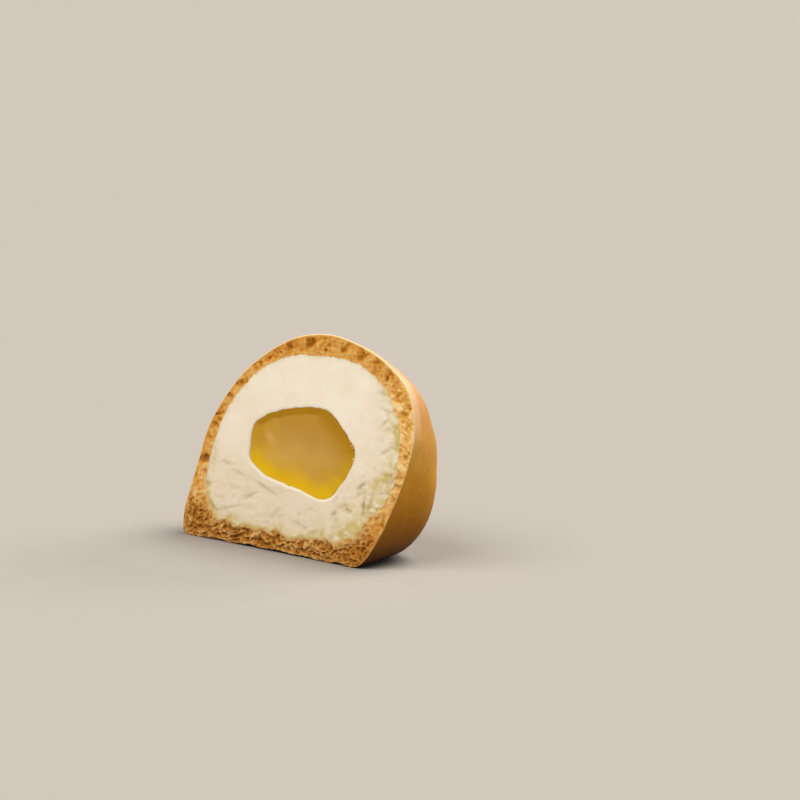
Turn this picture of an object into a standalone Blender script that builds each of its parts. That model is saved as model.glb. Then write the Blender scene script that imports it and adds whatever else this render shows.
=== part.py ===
"""Half of a baked bun: crust, white bean paste and the chestnut at its centre.

Lengths are named in millimetres and turned into metres when a mesh is written.
The cut face looks along -y and leans back a little, the flat base lies on z = 0 and the
bun bulges towards +y.
Clock angles run counter-clockwise from +x as the cut face is seen from the front.
"""

import math
from dataclasses import dataclass

import bmesh
import bpy
import numpy as np
from mathutils import Vector, noise

MM = 0.001

# Bun as a whole
CENTRE_HEIGHT = 21.5
BUN_DEPTH = 25.7
FULLNESS = 2.3
POLE_LEAN = 1.2
POLE_DROP = 10.0
FOOT_BLEND = 1.6
# Set-back of the cut face for each millimetre of height
FACE_SLOPE = 0.14

# Cut outline of the crust: (clock angle, radius)
BUN_OUTLINE = (
    (0, 23.6),
    (18, 25.1),
    (36, 26.1),
    (52, 25.2),
    (70, 24.2),
    (88, 23.6),
    (106, 22.4),
    (124, 21.1),
    (142, 20.5),
    (160, 20.6),
    (178, 21.6),
    (194, 23.3),
    (206, 26.0),
    (216, 29.6),
    (224, 31.8),
    (236, 30.2),
    (252, 26.6),
    (270, 24.8),
    (288, 25.6),
    (302, 27.4),
    (311, 26.4),
    (322, 24.9),
    (340, 23.5),
)
# Rounder outline that the sections take on towards the back: (clock angle, radius)
BACK_OUTLINE = (
    (15, 26.0),
    (70, 23.6),
    (130, 23.5),
    (190, 24.0),
    (240, 25.0),
    (290, 25.0),
    (335, 27.2),
)
BACK_POWER = 1.5
# Swelling of the wall behind the cut face: (clock angle, amount)
BUN_SWELL = (
    (10, 2.0),
    (70, -3.2),
    (115, -1.4),
    (165, 1.2),
    (210, 2.0),
    (270, 0.8),
    (330, 3.9),
)

# Hollow of the crust, filled by the paste
HOLLOW_DEPTH = 22.8
HOLLOW_TRIM = 3.0
HOLLOW_FLOOR = 4.4
HOLLOW_BLEND = 2.0
HOLLOW_OUTLINE = (
    (0, 21.3),
    (20, 21.9),
    (42, 21.8),
    (62, 21.1),
    (84, 19.3),
    (110, 18.9),
    (140, 18.4),
    (160, 18.6),
    (178, 19.2),
    (194, 20.6),
    (206, 22.3),
    (215, 23.5),
    (225, 23.7),
    (236, 22.5),
    (250, 20.7),
    (270, 19.4),
    (292, 19.6),
    (306, 21.1),
    (318, 20.9),
    (330, 20.8),
    (342, 21.4),
)

# Chestnut, cut with the face and sunk a little below it
NUT_CENTRE = (0.0, 21.0)
NUT_DEPTH = 9.0
NUT_SINK = 0.45
NUT_CROWN = 0.25
NUT_OUTLINE = (
    (10, 11.7),
    (20, 10.8),
    (33, 10.0),
    (48, 9.7),
    (64, 9.9),
    (84, 9.5),
    (109, 9.2),
    (131, 9.8),
    (148, 11.0),
    (163, 12.1),
    (186, 11.4),
    (202, 10.4),
    (219, 9.2),
    (237, 7.9),
    (255, 7.5),
    (273, 7.8),
    (292, 9.1),
    (304, 10.5),
    (315, 11.2),
    (330, 11.0),
    (350, 11.4),
)

# Fits and relief
LAYER_GAP = 0.4
SKIN_WAVE = 0.16
CRUMB_PIT = 0.95
PASTE_PIT = 0.28

# Mesh density
CRUST_AROUND, CRUST_DEEP, CRUST_ACROSS, HOLLOW_DEEP = 132, 17, 5, 9
PASTE_AROUND, PASTE_DEEP, PASTE_ACROSS, SOCKET_DEEP = 84, 9, 8, 5
NUT_AROUND, NUT_DEEP, NUT_ACROSS = 48, 6, 5


def keyed(keys, clock):
    """Radius at a clock angle from (angle, radius) keys, smooth all the way round."""
    angles = np.array([key[0] for key in keys], float)
    values = np.array([key[1] for key in keys], float)
    angles = np.concatenate([angles - 360, angles, angles + 360])
    values = np.tile(values, 3)
    slopes = np.zeros(len(values))
    slopes[1:-1] = (values[2:] - values[:-2]) / (angles[2:] - angles[:-2])
    i = int(np.searchsorted(angles, clock % 360, side="right")) - 1
    span = angles[i + 1] - angles[i]
    t = (clock % 360 - angles[i]) / span
    start = (1 + 2 * t) * (1 - t) ** 2 * values[i] + t * (1 - t) ** 2 * span * slopes[i]
    end = t * t * (3 - 2 * t) * values[i + 1] - t * t * (1 - t) * span * slopes[i + 1]
    return float(start + end)


def rest_on(height, floor, blend):
    """Height kept above a floor, with a rounded turn of the given size."""
    over = height - floor
    if over >= blend:
        return height
    if over <= -blend:
        return floor
    return floor + (over + blend) ** 2 / (4 * blend)


@dataclass(frozen=True)
class Form:
    """A rounded body that meets the cut face along an outline and closes at a pole behind it."""

    outline: tuple
    depth: float
    back: tuple = BACK_OUTLINE
    back_trim: float = 0.0
    centre: tuple = (0.0, CENTRE_HEIGHT)
    swell: tuple = BUN_SWELL
    lean: float = POLE_LEAN
    drop: float = POLE_DROP
    floor: float = 0.0
    blend: float = FOOT_BLEND
    inset: float = 0.0
    front: float = 0.0
    wave: float = 0.0

    def point(self, clock, turn):
        """Point at a clock angle; turn runs from 0 at the cut face to 1 at the pole."""
        bend = turn * math.pi / 2
        flat, deep = max(math.cos(bend), 0.0), math.sin(bend)
        share = deep**BACK_POWER
        radius = keyed(self.outline, clock) * (1 - share)
        radius += (keyed(self.back, clock) - self.back_trim) * share - self.inset
        radius = radius * flat ** (2 / FULLNESS) + keyed(self.swell, clock) * math.sin(2 * bend)
        direction = math.radians(clock)
        x = self.centre[0] + self.lean * deep**2 + radius * math.cos(direction)
        y = self.front + (self.depth - self.inset - self.front) * deep ** (2 / FULLNESS)
        z = self.centre[1] - self.drop * deep**2 + radius * math.sin(direction)
        if self.wave:
            push = 1 + self.wave * noise.noise(Vector((x, y, z)) / 9.0) / max(radius, 8.0)
            x = x * push
            z = self.centre[1] + (z - self.centre[1]) * push
        z = rest_on(z, self.floor + self.inset, self.blend)
        return Vector((x, y + FACE_SLOPE * z, z))

    def ring(self, turn, count):
        return [self.point(360 * k / count, turn) for k in range(count)]


def deep_rings(form, count, steps):
    """Rings behind the cut face, from the one next to it to the one next to the pole."""
    return [form.ring(step / (steps + 1), count) for step in range(1, steps + 1)]


def face_rings(inner, outer, count, steps, relief):
    """Rings across the cut face from one form's outline to another's, sunk by a relief."""
    near, far = inner.ring(0, count), outer.ring(0, count)
    rings = []
    for step in range(steps + 1):
        share = step / steps
        ring = [a.lerp(b, share) for a, b in zip(near, far)]
        edge = min(1.0, 3 * min(share, 1 - share))
        rings.append([p + Vector((0, relief(p.x, p.z, edge), 0)) for p in ring])
    return rings


def crumb_relief(x, z, edge):
    """Depth of the torn, porous crumb at a place on the crust's cut."""
    coarse = noise.noise(Vector((x / 1.9, 3.1, z / 1.9)))
    fine = noise.noise(Vector((x / 0.9, 7.7, z / 0.9)))
    return CRUMB_PIT * (0.25 + 0.75 * edge) * max(0.0, 0.22 + 0.8 * coarse + 0.35 * fine)


def paste_relief(x, z, edge):
    """Depth of the drag marks and small tears in the paste, strongest low on the face."""
    low = min(1.0, max(0.15, (26.0 - z) / 14.0))
    drag = noise.noise(Vector((x / 5.5, 1.3, z / 1.7)))
    tear = max(0.0, noise.noise(Vector((x / 2.2, 4.9, z / 1.6))) - 0.12)
    return PASTE_PIT * edge * low * (0.35 + 0.5 * drag + 1.6 * tear)


def body(name, rings, first, last, material):
    """One closed mesh through a run of rings that ends in a point at both ends."""
    mesh = bmesh.new()
    rows = [[mesh.verts.new(p * MM) for p in ring] for ring in rings]
    count = len(rows[0])
    for row, following in zip(rows, rows[1:]):
        for k in range(count):
            n = (k + 1) % count
            mesh.faces.new((row[k], row[n], following[n], following[k]))
    for row, tip in ((rows[0], first), (rows[-1], last)):
        pole = mesh.verts.new(tip * MM)
        for k in range(count):
            mesh.faces.new((row[k], row[(k + 1) % count], pole))
    bmesh.ops.recalc_face_normals(mesh, faces=mesh.faces)
    if mesh.calc_volume(signed=True) < 0:
        bmesh.ops.reverse_faces(mesh, faces=mesh.faces)
    data = bpy.data.meshes.new(name)
    mesh.to_mesh(data)
    mesh.free()
    data.shade_smooth()
    data.set_sharp_from_angle(angle=math.radians(38))
    data.materials.append(material)
    item = bpy.data.objects.new(name, data)
    bpy.context.scene.collection.objects.link(item)
    return item


def finish(name, colour, roughness):
    """A plain surface with its own colour and roughness."""
    material = bpy.data.materials.new(name)
    material.use_nodes = True
    shader = material.node_tree.nodes["Principled BSDF"]
    shader.inputs["Base Color"].default_value = (*colour, 1.0)
    shader.inputs["Roughness"].default_value = roughness
    shader.inputs["Metallic"].default_value = 0.0
    return material


def hollow_form(inset=0.0):
    """Inner wall of the crust, or the paste that stands an inset inside it."""
    return Form(
        HOLLOW_OUTLINE,
        HOLLOW_DEPTH,
        back_trim=HOLLOW_TRIM,
        floor=HOLLOW_FLOOR,
        blend=HOLLOW_BLEND,
        inset=inset,
    )


def nut_form(inset=0.0, front=0.0):
    """Socket of the chestnut, or the chestnut that stands an inset inside it."""
    return Form(
        NUT_OUTLINE,
        NUT_DEPTH,
        back=NUT_OUTLINE,
        centre=NUT_CENTRE,
        swell=((0, 0.8), (180, 0.8)),
        lean=0.0,
        drop=0.0,
        inset=inset,
        front=front,
    )


def build_crust():
    """Baked shell with a flat base, open at the cut face and hollow for the paste."""
    outside = Form(BUN_OUTLINE, BUN_DEPTH, wave=SKIN_WAVE)
    hollow = hollow_form()
    rings = deep_rings(hollow, CRUST_AROUND, HOLLOW_DEEP)[::-1]
    rings += face_rings(hollow, outside, CRUST_AROUND, CRUST_ACROSS, crumb_relief)
    rings += deep_rings(outside, CRUST_AROUND, CRUST_DEEP)
    colour = finish("baked crust", (0.56, 0.30, 0.09), 0.55)
    return body("crust", rings, hollow.point(0, 1), outside.point(0, 1), colour)


def build_paste():
    """White bean paste that fills the hollow and holds the chestnut in a socket."""
    outside = hollow_form(LAYER_GAP)
    socket = nut_form()
    rings = deep_rings(socket, PASTE_AROUND, SOCKET_DEEP)[::-1]
    rings += face_rings(socket, outside, PASTE_AROUND, PASTE_ACROSS, paste_relief)
    rings += deep_rings(outside, PASTE_AROUND, PASTE_DEEP)
    colour = finish("white bean paste", (0.78, 0.68, 0.50), 0.7)
    return body("paste", rings, socket.point(0, 1), outside.point(0, 1), colour)


def build_chestnut():
    """Candied chestnut with a smooth, faintly crowned cut face."""
    outside = nut_form(inset=LAYER_GAP, front=NUT_SINK)
    rim = outside.ring(0, NUT_AROUND)
    face = NUT_SINK + FACE_SLOPE * NUT_CENTRE[1]
    middle = Vector((NUT_CENTRE[0], face - NUT_CROWN, NUT_CENTRE[1]))
    rings = []
    for step in range(1, NUT_ACROSS + 1):
        share = step / NUT_ACROSS
        crown = Vector((0, NUT_CROWN * (share**4 - share), 0))
        rings.append([middle.lerp(p, share) + crown for p in rim])
    rings += deep_rings(outside, NUT_AROUND, NUT_DEEP)
    colour = finish("candied chestnut", (0.62, 0.36, 0.05), 0.22)
    return body("chestnut", rings, middle, outside.point(0, 1), colour)


def stand_at_origin(items):
    """Moves the finished meshes so that their common box stands centred on the origin."""
    corners = np.array([vertex.co for item in items for vertex in item.data.vertices])
    low, high = corners.min(axis=0), corners.max(axis=0)
    shift = Vector((-(low[0] + high[0]) / 2, -(low[1] + high[1]) / 2, -low[2]))
    for item in items:
        for vertex in item.data.vertices:
            vertex.co += shift


for leftover in list(bpy.data.objects):
    bpy.data.objects.remove(leftover, do_unlink=True)

stand_at_origin([build_crust(), build_paste(), build_chestnut()])
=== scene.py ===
"""Half of a baked bun with white bean paste and a candied chestnut, dressed around its frame.

Lengths are named in millimetres and turned into metres when a mesh is written.
The cut face looks along -y and leans back a little; clock angles run counter-clockwise
from +x as the cut face is seen from the front.
"""

import logging
import math
from dataclasses import dataclass
from enum import Enum

import bmesh
import bpy
import numpy as np
from mathutils import Matrix, Quaternion, Vector, noise


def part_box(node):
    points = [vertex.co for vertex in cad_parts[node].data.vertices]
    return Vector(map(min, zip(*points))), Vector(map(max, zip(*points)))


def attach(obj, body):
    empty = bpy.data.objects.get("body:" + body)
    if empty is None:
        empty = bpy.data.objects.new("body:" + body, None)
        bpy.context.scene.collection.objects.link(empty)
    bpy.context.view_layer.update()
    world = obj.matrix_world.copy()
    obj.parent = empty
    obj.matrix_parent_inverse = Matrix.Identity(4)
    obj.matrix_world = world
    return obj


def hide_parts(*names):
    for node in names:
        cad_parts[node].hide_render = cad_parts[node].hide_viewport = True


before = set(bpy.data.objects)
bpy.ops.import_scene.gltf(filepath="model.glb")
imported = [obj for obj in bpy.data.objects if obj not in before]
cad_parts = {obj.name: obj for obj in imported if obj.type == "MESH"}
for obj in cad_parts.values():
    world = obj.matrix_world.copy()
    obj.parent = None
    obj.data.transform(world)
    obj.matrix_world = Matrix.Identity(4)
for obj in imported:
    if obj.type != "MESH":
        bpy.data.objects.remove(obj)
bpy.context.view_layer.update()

LOG = logging.getLogger("bun")
MM = 0.001
SEAM_WELD = 1e-8
BODY = "root"
FLAT = np.array((1.0, 0.0, 1.0))
WHITE = "#FFFFFF"
# A place on the bun's axis, and the mean radius of the paste's edge and of the chestnut's
AXIS = np.array((0.5, 0.0, 17.0))
PASTE_RADIUS = 21.0
NUT_RADIUS = 10.0

Array = np.ndarray
Object = bpy.types.Object
Mesh = bmesh.types.BMesh
Tree = bpy.types.NodeTree
Keys = tuple[tuple[float, float], ...]
Stops = tuple[tuple[float, str], ...]
Socket = bpy.types.NodeSocket
# Sockets of a colour mix
MIX_SHARE, MIX_A, MIX_B, MIX_OUT = 0, 6, 7, 2

# Cut outline of the crust: (clock angle, radius)
BUN_OUTLINE: Keys = (
    (0, 23.6), (18, 25.1), (36, 26.1), (52, 25.2), (70, 24.2), (88, 23.6), (106, 22.4),
    (124, 21.1), (142, 20.5), (160, 20.6), (178, 21.6), (194, 23.3), (206, 26.0), (216, 29.6),
    (224, 31.8), (236, 30.2), (252, 26.6), (270, 24.8), (288, 25.6), (302, 27.4), (311, 26.4),
    (322, 24.9), (340, 23.5),
)
# Rounder outline that the sections take on towards the back
BACK_OUTLINE: Keys = (
    (15, 26.0), (70, 23.6), (130, 23.5), (190, 24.0), (240, 25.0), (290, 25.0), (335, 27.2),
)
# Swelling of the wall behind the cut face
BUN_SWELL: Keys = (
    (10, 2.0), (70, -3.2), (115, -1.4), (165, 1.2), (210, 2.0), (270, 0.8), (330, 3.9),
)
# Hollow of the crust, filled by the paste
HOLLOW_OUTLINE: Keys = (
    (0, 21.3), (20, 21.9), (42, 21.8), (62, 21.1), (84, 19.3), (110, 18.9), (140, 18.4),
    (160, 18.6), (178, 19.2), (194, 20.6), (206, 22.3), (215, 23.5), (225, 23.7), (236, 22.5),
    (250, 20.7), (270, 19.4), (292, 19.6), (306, 21.1), (318, 20.9), (330, 20.8), (342, 21.4),
)
# Cut outline of the chestnut's socket
NUT_OUTLINE: Keys = (
    (10, 11.7), (20, 10.8), (33, 10.0), (48, 9.7), (64, 9.9), (84, 9.5), (109, 9.2),
    (131, 9.8), (148, 11.0), (163, 12.1), (186, 11.4), (202, 10.4), (219, 9.2), (237, 7.9),
    (255, 7.5), (273, 7.8), (292, 9.1), (304, 10.5), (315, 11.2), (330, 11.0), (350, 11.4),
)
NUT_SWELL: Keys = ((0, 0.8), (180, 0.8))
# What the chestnut's rim adds to its outline: a corner low on the left, flatter sides
NUT_RIM: Keys = (
    (0, 0.1), (30, 0.3), (45, 0.38), (60, 0.2), (75, -0.1), (90, -0.35), (120, -0.18),
    (150, 0.0), (180, -0.1), (195, 0.75), (210, 0.45), (225, 0.2), (240, 0.0), (255, 0.0),
    (270, -0.2), (285, -0.35), (300, 0.05), (345, -0.05),
)

# Oval marks that stand out on the cut: x, z, half length, half width, turn in degrees, depth
Marks = tuple[tuple[float, float, float, float, float, float], ...]
PORES: Marks = (
    (-6.5, 41.5, 0.6, 0.5, -30, 1.0), (-2.0, 42.5, 0.9, 0.4, 45, 1.0), (5.5, 42.5, 0.6, 0.3, 0, 0.9),
    (9.5, 41.5, 0.5, 0.5, 0, 1.0), (16.0, 38.5, 0.5, 0.35, -80, 1.0), (19.5, 34.5, 0.9, 0.3, 0, 0.85),
    (21.0, 32.0, 0.65, 0.5, -20, 0.9), (-20.5, 16.0, 0.65, 0.4, -30, 0.9), (-22.5, 6.0, 0.9, 0.4, -5, 0.95),
    (-20.0, 2.0, 1.1, 0.4, -15, 1.0), (-17.5, 1.5, 0.8, 0.35, -20, 0.9), (-6.0, 1.5, 0.8, 0.5, -25, 0.9),
)
# Tears in the paste; those of negative depth are lumps
TEARS: Marks = (
    (-19.5, 11.0, 0.55, 0.35, -45, 0.6), (-18.0, 7.0, 0.85, 0.35, -40, 0.8),
    (-14.0, 7.0, 3.0, 0.3, 20, 0.3), (-7.0, 12.5, 2.0, 0.35, -20, 0.45),
    (9.5, 10.0, 0.6, 0.4, 40, 0.5), (12.5, 11.0, 0.6, 0.4, -20, 0.7),
    (14.5, 16.5, 0.8, 0.4, 50, 0.7), (15.5, 12.5, 1.5, 0.3, 90, 0.9),
    (17.0, 13.0, 1.6, 0.35, -85, 0.5), (16.0, 13.0, 0.55, 0.3, -65, -0.7),
    (17.5, 12.0, 0.4, 0.3, -15, -0.6), (18.5, 13.0, 0.75, 0.3, 65, -0.6),
)
# Patches where oil from the crust has soaked the paste
STAINS: Marks = (
    (14.5, 8.0, 1.6, 1.0, 5, 0.6), (11.5, 6.5, 1.3, 0.75, 10, 0.35), (11.5, 12.0, 1.2, 0.75, 20, 0.3),
    (16.5, 12.5, 1.2, 0.75, -5, 0.35), (18.0, 17.5, 1.7, 1.3, 40, 0.6), (19.5, 19.5, 1.0, 0.75, -70, 0.5),
    (20.5, 27.5, 2.2, 0.7, -75, 0.6), (-13.0, 5.5, 1.4, 0.85, 15, 0.3), (-10.0, 8.0, 1.7, 0.65, 5, 0.25),
    (-19.0, 9.5, 2.8, 0.5, -75, 0.5), (-19.0, 16.5, 2.9, 0.45, -85, 0.35),
)


class Slot(Enum):
    """The record's material slots."""

    CRUST = "baked_crust"
    PASTE = "bean_paste"
    NUT = "candied_chestnut"


class Blend(Enum):
    """How a tint meets the colour under it."""

    STAIN = "MULTIPLY"
    COVER = "MIX"


def keyed(keys: Keys, clock: Array) -> Array:
    """Reads a smooth curve through (clock angle, value) keys that closes on itself.

    Args:
        keys: The angles in degrees, rising, with their values.
        clock: The angles to read at, in degrees.

    Returns:
        The value at each angle.
    """
    angles = np.array([key[0] for key in keys], float)
    angles = np.concatenate([angles - 360, angles, angles + 360])
    values = np.tile(np.array([key[1] for key in keys], float), 3)
    slopes = np.zeros(len(values))
    slopes[1:-1] = (values[2:] - values[:-2]) / (angles[2:] - angles[:-2])
    at = np.mod(clock, 360.0)
    i = np.searchsorted(angles, at, side="right") - 1
    span = angles[i + 1] - angles[i]
    t = (at - angles[i]) / span
    start = (1 + 2 * t) * (1 - t) ** 2 * values[i] + t * (1 - t) ** 2 * span * slopes[i]
    end = t * t * (3 - 2 * t) * values[i + 1] - t * t * (1 - t) * span * slopes[i + 1]
    return start + end


def rest_on(height: Array, floor: Array | float, blend: Array) -> Array:
    """Keeps heights above a floor, with a rounded turn as large as the blend."""
    over = np.clip(height - floor, -blend, blend)
    return np.where(height - floor >= blend, height, floor + (over + blend) ** 2 / (4 * blend))


def smooth(value: Array, low: Array | float, high: Array | float) -> Array:
    """Eases values from 0 at the low limit to 1 at the high one, which may be the smaller."""
    t = np.clip((value - low) / (high - low), 0.0, 1.0)
    return t * t * (3 - 2 * t)


def noise_at(points: Array, size: tuple[float, float, float] | float, seed: float) -> Array:
    """Reads smooth noise, from about -1 to 1.

    Args:
        points: The places in millimetres, one a row.
        size: The size of the noise's lumps, the same each way or one for each axis.
        seed: A shift that gives each use its own noise.

    Returns:
        The noise at each place.
    """
    scaled = points / np.array(size) + seed * np.array((7.31, 3.17, 5.77))
    return np.array([noise.noise(p) for p in scaled.tolist()])


def cells_at(points: Array, cell: float, seed: float) -> Array:
    """Parts space into cells of uneven size.

    Args:
        points: The places in millimetres, one a row.
        cell: The mean size of a cell.
        seed: A shift that gives each use its own cells.

    Returns:
        Three rows: how far each place is from its cell's middle, how much further from the next
        cell's, and a value that the cell draws, from -1 to 1.
    """
    found = []
    for place in (points / cell + seed).tolist():
        (near, following, *_), middles = noise.voronoi(place)
        found.append((near * cell, (following - near) * cell, noise.cell(middles[0] * 9.7)))
    return np.array(found).T


def pores_at(points: Array, cell: float, radius: float, seed: float) -> Array:
    """Reads how deep in a round pore, one to a cell and of uneven size, each place is, from 0 to 1."""
    near, _, drawn = cells_at(points, cell, seed)
    return smooth(1 - near / (radius * np.maximum(0.35 + 0.65 * drawn, 0.2)), 0.0, 0.9)


def sponge_at(points: Array, cell: float, wall: float, seed: float) -> Array:
    """Reads how far from the thin walls of a sponge each place is, from 0 to 1 well inside a cell."""
    return smooth(cells_at(points, cell, seed)[1], 0.0, wall)


def placed(points: Array, marks: Marks, spread: float = 1.0) -> Array:
    """Reads oval marks laid on the cut one by one.

    Args:
        points: Places on the cut in millimetres, one a row.
        marks: The marks.
        spread: What their lengths and widths are multiplied by.

    Returns:
        The depth of the marks at each place, about 1 at the middle of the deepest.
    """
    depth = np.zeros(len(points))
    for x, z, length, width, turn, deep in marks:
        angle = math.radians(turn)
        dx, dz = points[:, 0] - x, points[:, 2] - z
        along = (dx * math.cos(angle) + dz * math.sin(angle)) / (length * spread)
        aside = (dz * math.cos(angle) - dx * math.sin(angle)) / (width * spread)
        depth += deep * np.exp(-(along**2) - aside**2)
    return depth


def warped(points: Array, reach: float, size: float, seed: float) -> Array:
    """Bends places along the cut, so that a pattern read there loses its regularity.

    Args:
        points: The places in millimetres, one a row.
        reach: How far a place may move.
        size: The size of the bends.
        seed: A shift that gives each use its own bends.

    Returns:
        The bent places.
    """
    bent = points.copy()
    bent[:, 0] += reach * noise_at(points, size, seed)
    bent[:, 2] += reach * noise_at(points, size, seed + 1.7)
    return bent


def ring_at(clock: Array, radius: float) -> Array:
    """Places on a ring round the cut's middle, where noise is read so that it closes on itself."""
    direction = np.radians(clock)
    return radius * np.stack([np.cos(direction), 0 * direction, np.sin(direction)], 1)


def window(clock: Array, middle: float, half: float, soft: float) -> Array:
    """Picks a stretch of the clock: 1 to half its width from its middle, fading to 0 past that."""
    away = np.abs(np.mod(clock - middle + 180, 360) - 180)
    return smooth(away, half + soft, half)


@dataclass(frozen=True)
class Form:
    """A rounded body that meets the cut face along an outline and closes at a pole behind it."""

    outline: Keys
    depth: float
    back: Keys = BACK_OUTLINE
    back_trim: float = 0.0
    centre: tuple[float, float] = (0.0, 21.5)
    swell: Keys = BUN_SWELL
    lean: float = 1.2
    drop: float = 10.0
    floor: float = 0.0
    blend: float = 1.6
    foot_turn: float = 0.0
    wave: float = 0.0
    fullness: float = 2.3
    back_power: float = 1.5
    face_slope: float = 0.14

    def points(self, clock: Array, turn: Array, ragged: Array | float = 0.0) -> Array:
        """Places on the form.

        Args:
            clock: The clock angle of each place, in degrees.
            turn: How far round each place is, from 0 at the cut face to 1 at the pole.
            ragged: What is added to the radius of each place.

        Returns:
            One place a row, in millimetres.
        """
        bend = turn * math.pi / 2
        flat, deep = np.maximum(np.cos(bend), 0.0), np.sin(bend)
        share = deep**self.back_power
        radius = keyed(self.outline, clock) * (1 - share)
        radius += (keyed(self.back, clock) - self.back_trim) * share + ragged
        radius = radius * flat ** (2 / self.fullness)
        radius += keyed(self.swell, clock) * np.sin(2 * bend)
        direction = np.radians(clock)
        x = self.centre[0] + self.lean * deep**2 + radius * np.cos(direction)
        y = self.depth * deep ** (2 / self.fullness)
        z = self.centre[1] - self.drop * deep**2 + radius * np.sin(direction)
        if self.wave:
            push = noise_at(np.stack([x, y, z], 1), 9.0, 0.0)
            push = 1 + self.wave * push / np.maximum(radius, 8.0)
            x, z = x * push, self.centre[1] + (z - self.centre[1]) * push
        blend = self.blend + self.foot_turn * smooth(deep, 0.0, 0.35)
        z = rest_on(z, self.floor - ragged, blend)
        return np.stack([x, y + self.face_slope * z, z], 1)

    def rim(self, clock: Array, ragged: Array | float = 0.0) -> Array:
        """Places where the form meets the cut face, with what is added to their radius."""
        return self.points(clock, np.zeros(len(clock)), ragged)

    def behind(self, places: Array) -> Array:
        """How far places lie behind the leaning cut face."""
        return places[:, 1] - self.face_slope * places[:, 2]


def between(near: Array, far: Array, share: Array) -> tuple[Array, Array, Array]:
    """Finds places part of the way from one rim to another, and how far they are from each."""
    width = np.linalg.norm(far - near, axis=1)
    return near + (far - near) * share[:, None], width * share, width * (1 - share)


HOLLOW = Form(HOLLOW_OUTLINE, 22.8, back_trim=3.0, floor=4.4, blend=2.0)
SOCKET = Form(NUT_OUTLINE, 9.0, back=NUT_OUTLINE, centre=(0.0, 21.0), swell=NUT_SWELL, lean=0, drop=0)


@dataclass(frozen=True)
class Strewn:
    """A rule that strews small oval marks between two outlines of the cut, within these spans."""

    count: int
    clock: tuple[float, float]
    share: tuple[float, float]
    length: tuple[float, float]
    width: tuple[float, float]
    depth: tuple[float, float]
    seed: int
    lean: float = 54.0

    def marks(self, near: Form, far: Form) -> Marks:
        """Draws the marks, evenly round the clock but for a jitter.

        Args:
            near: The form of the inner outline.
            far: The form of the outer outline.

        Returns:
            The marks.
        """
        draw = np.random.default_rng(self.seed)
        steps = (np.arange(self.count) + draw.random(self.count)) / self.count
        clock = np.mod(self.clock[0] + (self.clock[1] - self.clock[0]) * steps, 360)
        share = draw.uniform(*self.share, self.count)
        spots = between(near.rim(clock), far.rim(clock), share)[0]
        sizes = [draw.uniform(*span, self.count) for span in (self.length, self.width, self.depth)]
        turn = draw.uniform(-self.lean, self.lean, self.count)
        return tuple(zip(spots[:, 0], spots[:, 2], sizes[0], sizes[1], turn, sizes[2]))


def strew(rules: tuple[Strewn, ...], near: Form, far: Form) -> Marks:
    """Draws the marks of several rules between an inner and an outer outline."""
    return sum((rule.marks(near, far) for rule in rules), ())


@dataclass(frozen=True)
class Globe:
    """A globe whose rings are moved onto a form: some inside, some on the cut, the rest outside."""

    around: int
    inside: int
    cut: int
    outside: int
    crowd: float = 1.0

    @property
    def rows(self) -> int:
        """The number of steps from pole to pole."""
        return self.inside + self.cut + self.outside

    def mesh(self) -> Mesh:
        """Makes a fresh grid.

        Returns:
            The grid, whose columns run round the clock and whose rows run from pole to pole.
        """
        mesh = bmesh.new()
        bmesh.ops.create_grid(mesh, x_segments=self.around, y_segments=self.rows, size=1.0)
        return mesh

    def places(self, mesh: Mesh) -> tuple[Array, Array, Array, Array, Array]:
        """Reads where each vertex of a fresh grid belongs.

        Args:
            mesh: The fresh grid.

        Returns:
            For each vertex its clock angle and its share of the way across its region, and
            whether it is inside, on the cut or outside.
        """
        at = np.array([vertex.co for vertex in mesh.verts])
        clock = np.mod(np.rint((at[:, 0] + 1) / 2 * self.around), self.around)
        row = np.rint((at[:, 1] + 1) / 2 * self.rows)
        inside, outside = row < self.inside, row > self.inside + self.cut
        cut = ~inside & ~outside
        inner = 1 - row / max(self.inside, 1)
        outer = ((row - self.inside - self.cut) / max(self.outside, 1)).clip(0) ** self.crowd
        share = np.select((inside, cut), (inner, (row - self.inside) / self.cut), outer)
        return clock * 360 / self.around, share, inside, cut, outside


def to_object(mesh: Mesh, name: str) -> Object:
    """Turns a mesh that is being built into an object at the origin.

    Args:
        mesh: The mesh, freed here.
        name: The object's name.

    Returns:
        The finished object, in the scene.
    """
    data = bpy.data.meshes.new(name)
    mesh.to_mesh(data)
    mesh.free()
    data.shade_smooth()
    made = bpy.data.objects.new(name, data)
    bpy.context.scene.collection.objects.link(made)
    return made


def write_piece(mesh: Mesh, name: str, places: Array, shift: Array, marks: dict[str, Array]) -> Object:
    """Moves a grid's vertices to their places, closes it and makes it an object.

    Args:
        mesh: The grid, freed here.
        name: The piece's name.
        places: The place of each vertex in millimetres.
        shift: What brings those places into the frame.
        marks: Values to keep on the vertices for the finishes, by name.

    Returns:
        The finished object, in the scene.
    """
    for vertex, place in zip(mesh.verts, ((places + shift) * MM).tolist()):
        vertex.co = place
    for mark, values in marks.items():
        kept = mesh.verts.layers.float.new(mark)
        for vertex, value in zip(mesh.verts, values.tolist()):
            vertex[kept] = value
    # The first and last columns meet, and each end row closes to a pole
    bmesh.ops.remove_doubles(mesh, verts=mesh.verts[:], dist=SEAM_WELD)
    bmesh.ops.recalc_face_normals(mesh, faces=mesh.faces[:])
    if mesh.calc_volume(signed=True) < 0:
        bmesh.ops.reverse_faces(mesh, faces=mesh.faces[:])
    return to_object(mesh, name)


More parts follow.
